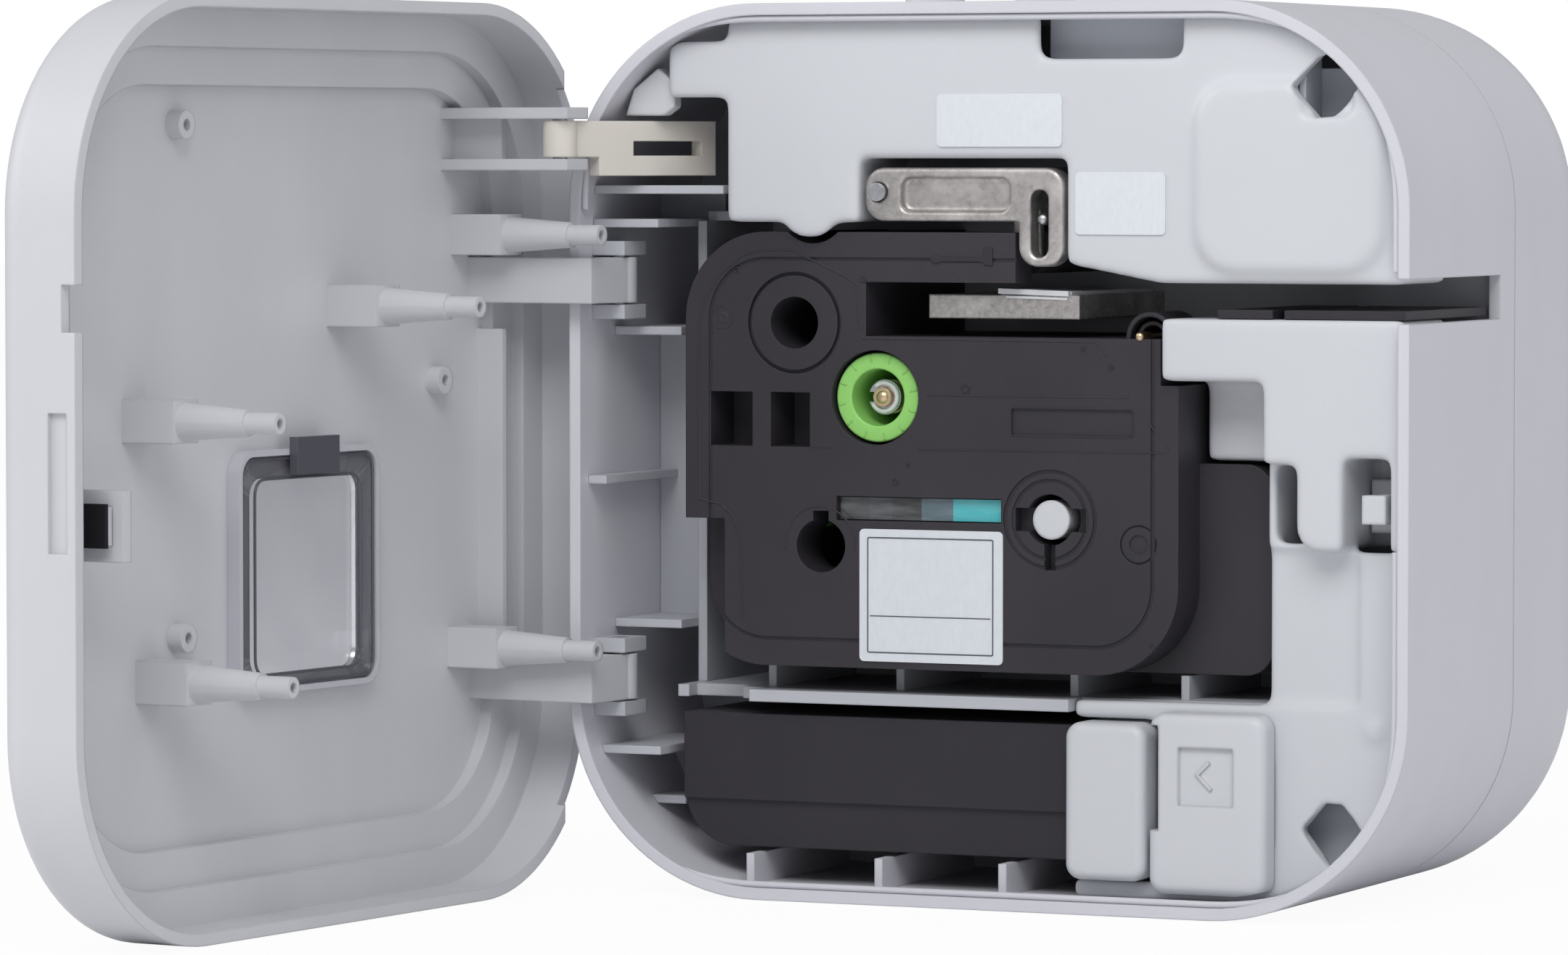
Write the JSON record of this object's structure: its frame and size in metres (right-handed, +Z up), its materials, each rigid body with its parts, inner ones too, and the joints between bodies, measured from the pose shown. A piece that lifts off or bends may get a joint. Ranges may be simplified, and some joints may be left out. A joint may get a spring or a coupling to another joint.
{
  "type": "label maker",
  "caption": "Desktop label maker with a side-hinged front door open, tape cassette, battery bay, cutter, print head and take-up drive inside.",
  "frame": {"origin": "centre of the base, on the surface it stands on", "axes": "+Z up, +X to the right seen from the front, +Y towards the back; the door side is -Y"},
  "size_m": [0.181, 0.2327, 0.1494],
  "materials": {
    "shell_plastic": "fine textured",
    "door_plastic": "fine textured",
    "housing_plastic": "satin",
    "inner_plastic": "satin",
    "cassette_plastic": "fine textured",
    "black_plastic": "satin",
    "green_plastic": "satin",
    "nylon": "waxy",
    "die_cast": "as cast",
    "steel": "plain",
    "brass": "plain",
    "rubber": "matt",
    "smoke_lens": "polished",
    "paper": "semi gloss label",
    "ribbon": "film",
    "light_pipe": "clear",
    "ceramic": "polished",
    "board": "solder mask"
  },
  "bodies": {
    "body": {"body_shell": "shell_plastic", "foot_pads": "rubber", "rear_cover": "shell_plastic", "cover_screws": "steel", "housing_top": "housing_plastic", "housing_side": "housing_plastic", "sticker_pale": "paper", "sticker_header": "paper", "exit_guides": "black_plastic", "cassette_bay": "inner_plastic", "bay_shelf": "inner_plastic", "hinge_side_frame": "inner_plastic", "spindle_cap": "housing_plastic", "print_head": "die_cast", "thermal_strip": "ceramic", "lever_pin": "steel", "motor": "steel", "battery_contacts": "brass", "battery_block": "housing_plastic", "power_inlet": "black_plastic", "data_socket": "steel", "control_board": "board", "status_light": "light_pipe", "hinge_brackets": "inner_plastic", "hinge_pins": "steel"},
    "door": {"door_shell": "door_plastic", "door_window": "smoke_lens", "window_bezel": "door_plastic", "window_clip": "door_plastic", "door_catch": "door_plastic", "link_pin": "steel"},
    "door_link": {"door_link": "nylon"},
    "cutter": {"cutter_blade": "steel"},
    "cassette": {"cassette_cover": "cassette_plastic", "cassette_case": "cassette_plastic", "tape_roll": "black_plastic", "ribbon_strip": "ribbon", "cassette_sticker": "paper"},
    "take_up_spool": {"take_up_spool": "green_plastic"},
    "ribbon_spool": {"ribbon_spool": "green_plastic"},
    "take_up": {"take_up_shaft": "brass", "shaft_clip": "steel", "drive_gear": "nylon"},
    "pinion": {"motor_pinion": "brass", "pinion_shaft": "steel"},
    "lever": {"platen_lever": "die_cast"},
    "roller": {"platen_roller": "rubber", "roller_shaft": "steel"},
    "battery": {"battery": "black_plastic"},
    "battery_latch": {"battery_latch": "housing_plastic"},
    "power_button": {"power_button": "housing_plastic"},
    "feed_button": {"feed_button": "housing_plastic"},
    "release_button": {"release_button": "housing_plastic"},
    "latch_hook": {"latch_hook": "nylon"}
  },
  "joints": [
    {"name": "door_hinge", "type": "hinge", "parent": "body", "child": "door", "pos_m": [-0.0688, -0.0416, 0.07], "axis": [0, 0, -1], "range_deg": [-96, 3]},
    {"name": "link_pivot", "type": "hinge", "parent": "door", "child": "door_link", "pos_m": [-0.07107, -0.05936, 0.125], "axis": [0, 0, -1], "range_deg": [-10, 60]},
    {"name": "lever_pivot", "type": "hinge", "parent": "body", "child": "lever", "pos_m": [-0.0196, -0.044, 0.117], "axis": [0, 1, 0], "range_deg": [-1, 3]},
    {"name": "roller_spin", "type": "hinge", "parent": "lever", "child": "roller", "pos_m": [0.003, -0.021, 0.1076], "axis": [0, 1, 0], "continuous": true},
    {"name": "cassette_slide", "type": "slide", "parent": "body", "child": "cassette", "axis": [0, -1, 0], "range_m": [0, 0.06]},
    {"name": "take_up_shaft_spin", "type": "hinge", "parent": "body", "child": "take_up", "pos_m": [-0.0206, -0.02, 0.0832], "axis": [0, 1, 0], "continuous": true},
    {"name": "pinion_spin", "type": "hinge", "parent": "body", "child": "pinion", "pos_m": [0.00035, 0.003, 0.0832], "axis": [0, 1, 0], "continuous": true},
    {"name": "take_up_spool_spin", "type": "hinge", "parent": "cassette", "child": "take_up_spool", "pos_m": [-0.0206, -0.025, 0.0832], "axis": [0, 1, 0], "continuous": true},
    {"name": "ribbon_spool_spin", "type": "hinge", "parent": "cassette", "child": "ribbon_spool", "pos_m": [-0.039, -0.025, 0.066], "axis": [0, 1, 0], "continuous": true},
    {"name": "cutter_slide", "type": "slide", "parent": "body", "child": "cutter", "axis": [0, 0, -1], "range_m": [0, 0.0058], "stiffness_N_per_m": 100, "springref_m": -0.002},
    {"name": "battery_slide", "type": "slide", "parent": "body", "child": "battery", "axis": [0, -1, 0], "range_m": [0, 0.05]},
    {"name": "battery_latch_slide", "type": "slide", "parent": "body", "child": "battery_latch", "axis": [1, 0, 0], "range_m": [0, 0.004]},
    {"name": "power_press", "type": "slide", "parent": "body", "child": "power_button", "axis": [0, 0, -1], "range_m": [0, 0.0012], "stiffness_N_per_m": 400, "springref_m": -0.001},
    {"name": "feed_press", "type": "slide", "parent": "body", "child": "feed_button", "axis": [0, 0, -1], "range_m": [0, 0.0012], "stiffness_N_per_m": 400, "springref_m": -0.001},
    {"name": "release_press", "type": "slide", "parent": "body", "child": "release_button", "axis": [0, 0, -1], "range_m": [0, 0.0012], "stiffness_N_per_m": 400, "springref_m": -0.001},
    {"name": "latch_hook_slide", "type": "slide", "parent": "body", "child": "latch_hook", "axis": [0, 0, -1], "range_m": [0, 0.0015], "stiffness_N_per_m": 300, "springref_m": -0.001}
  ],
  "couplings": [
    {"joint": "link_pivot", "follows": "door_hinge", "ratio": -0.495},
    {"joint": "lever_pivot", "follows": "door_hinge", "ratio": -0.025},
    {"joint": "pinion_spin", "follows": "take_up_shaft_spin", "ratio": -3.3333},
    {"joint": "take_up_spool_spin", "follows": "take_up_shaft_spin", "ratio": 1}
  ]
}
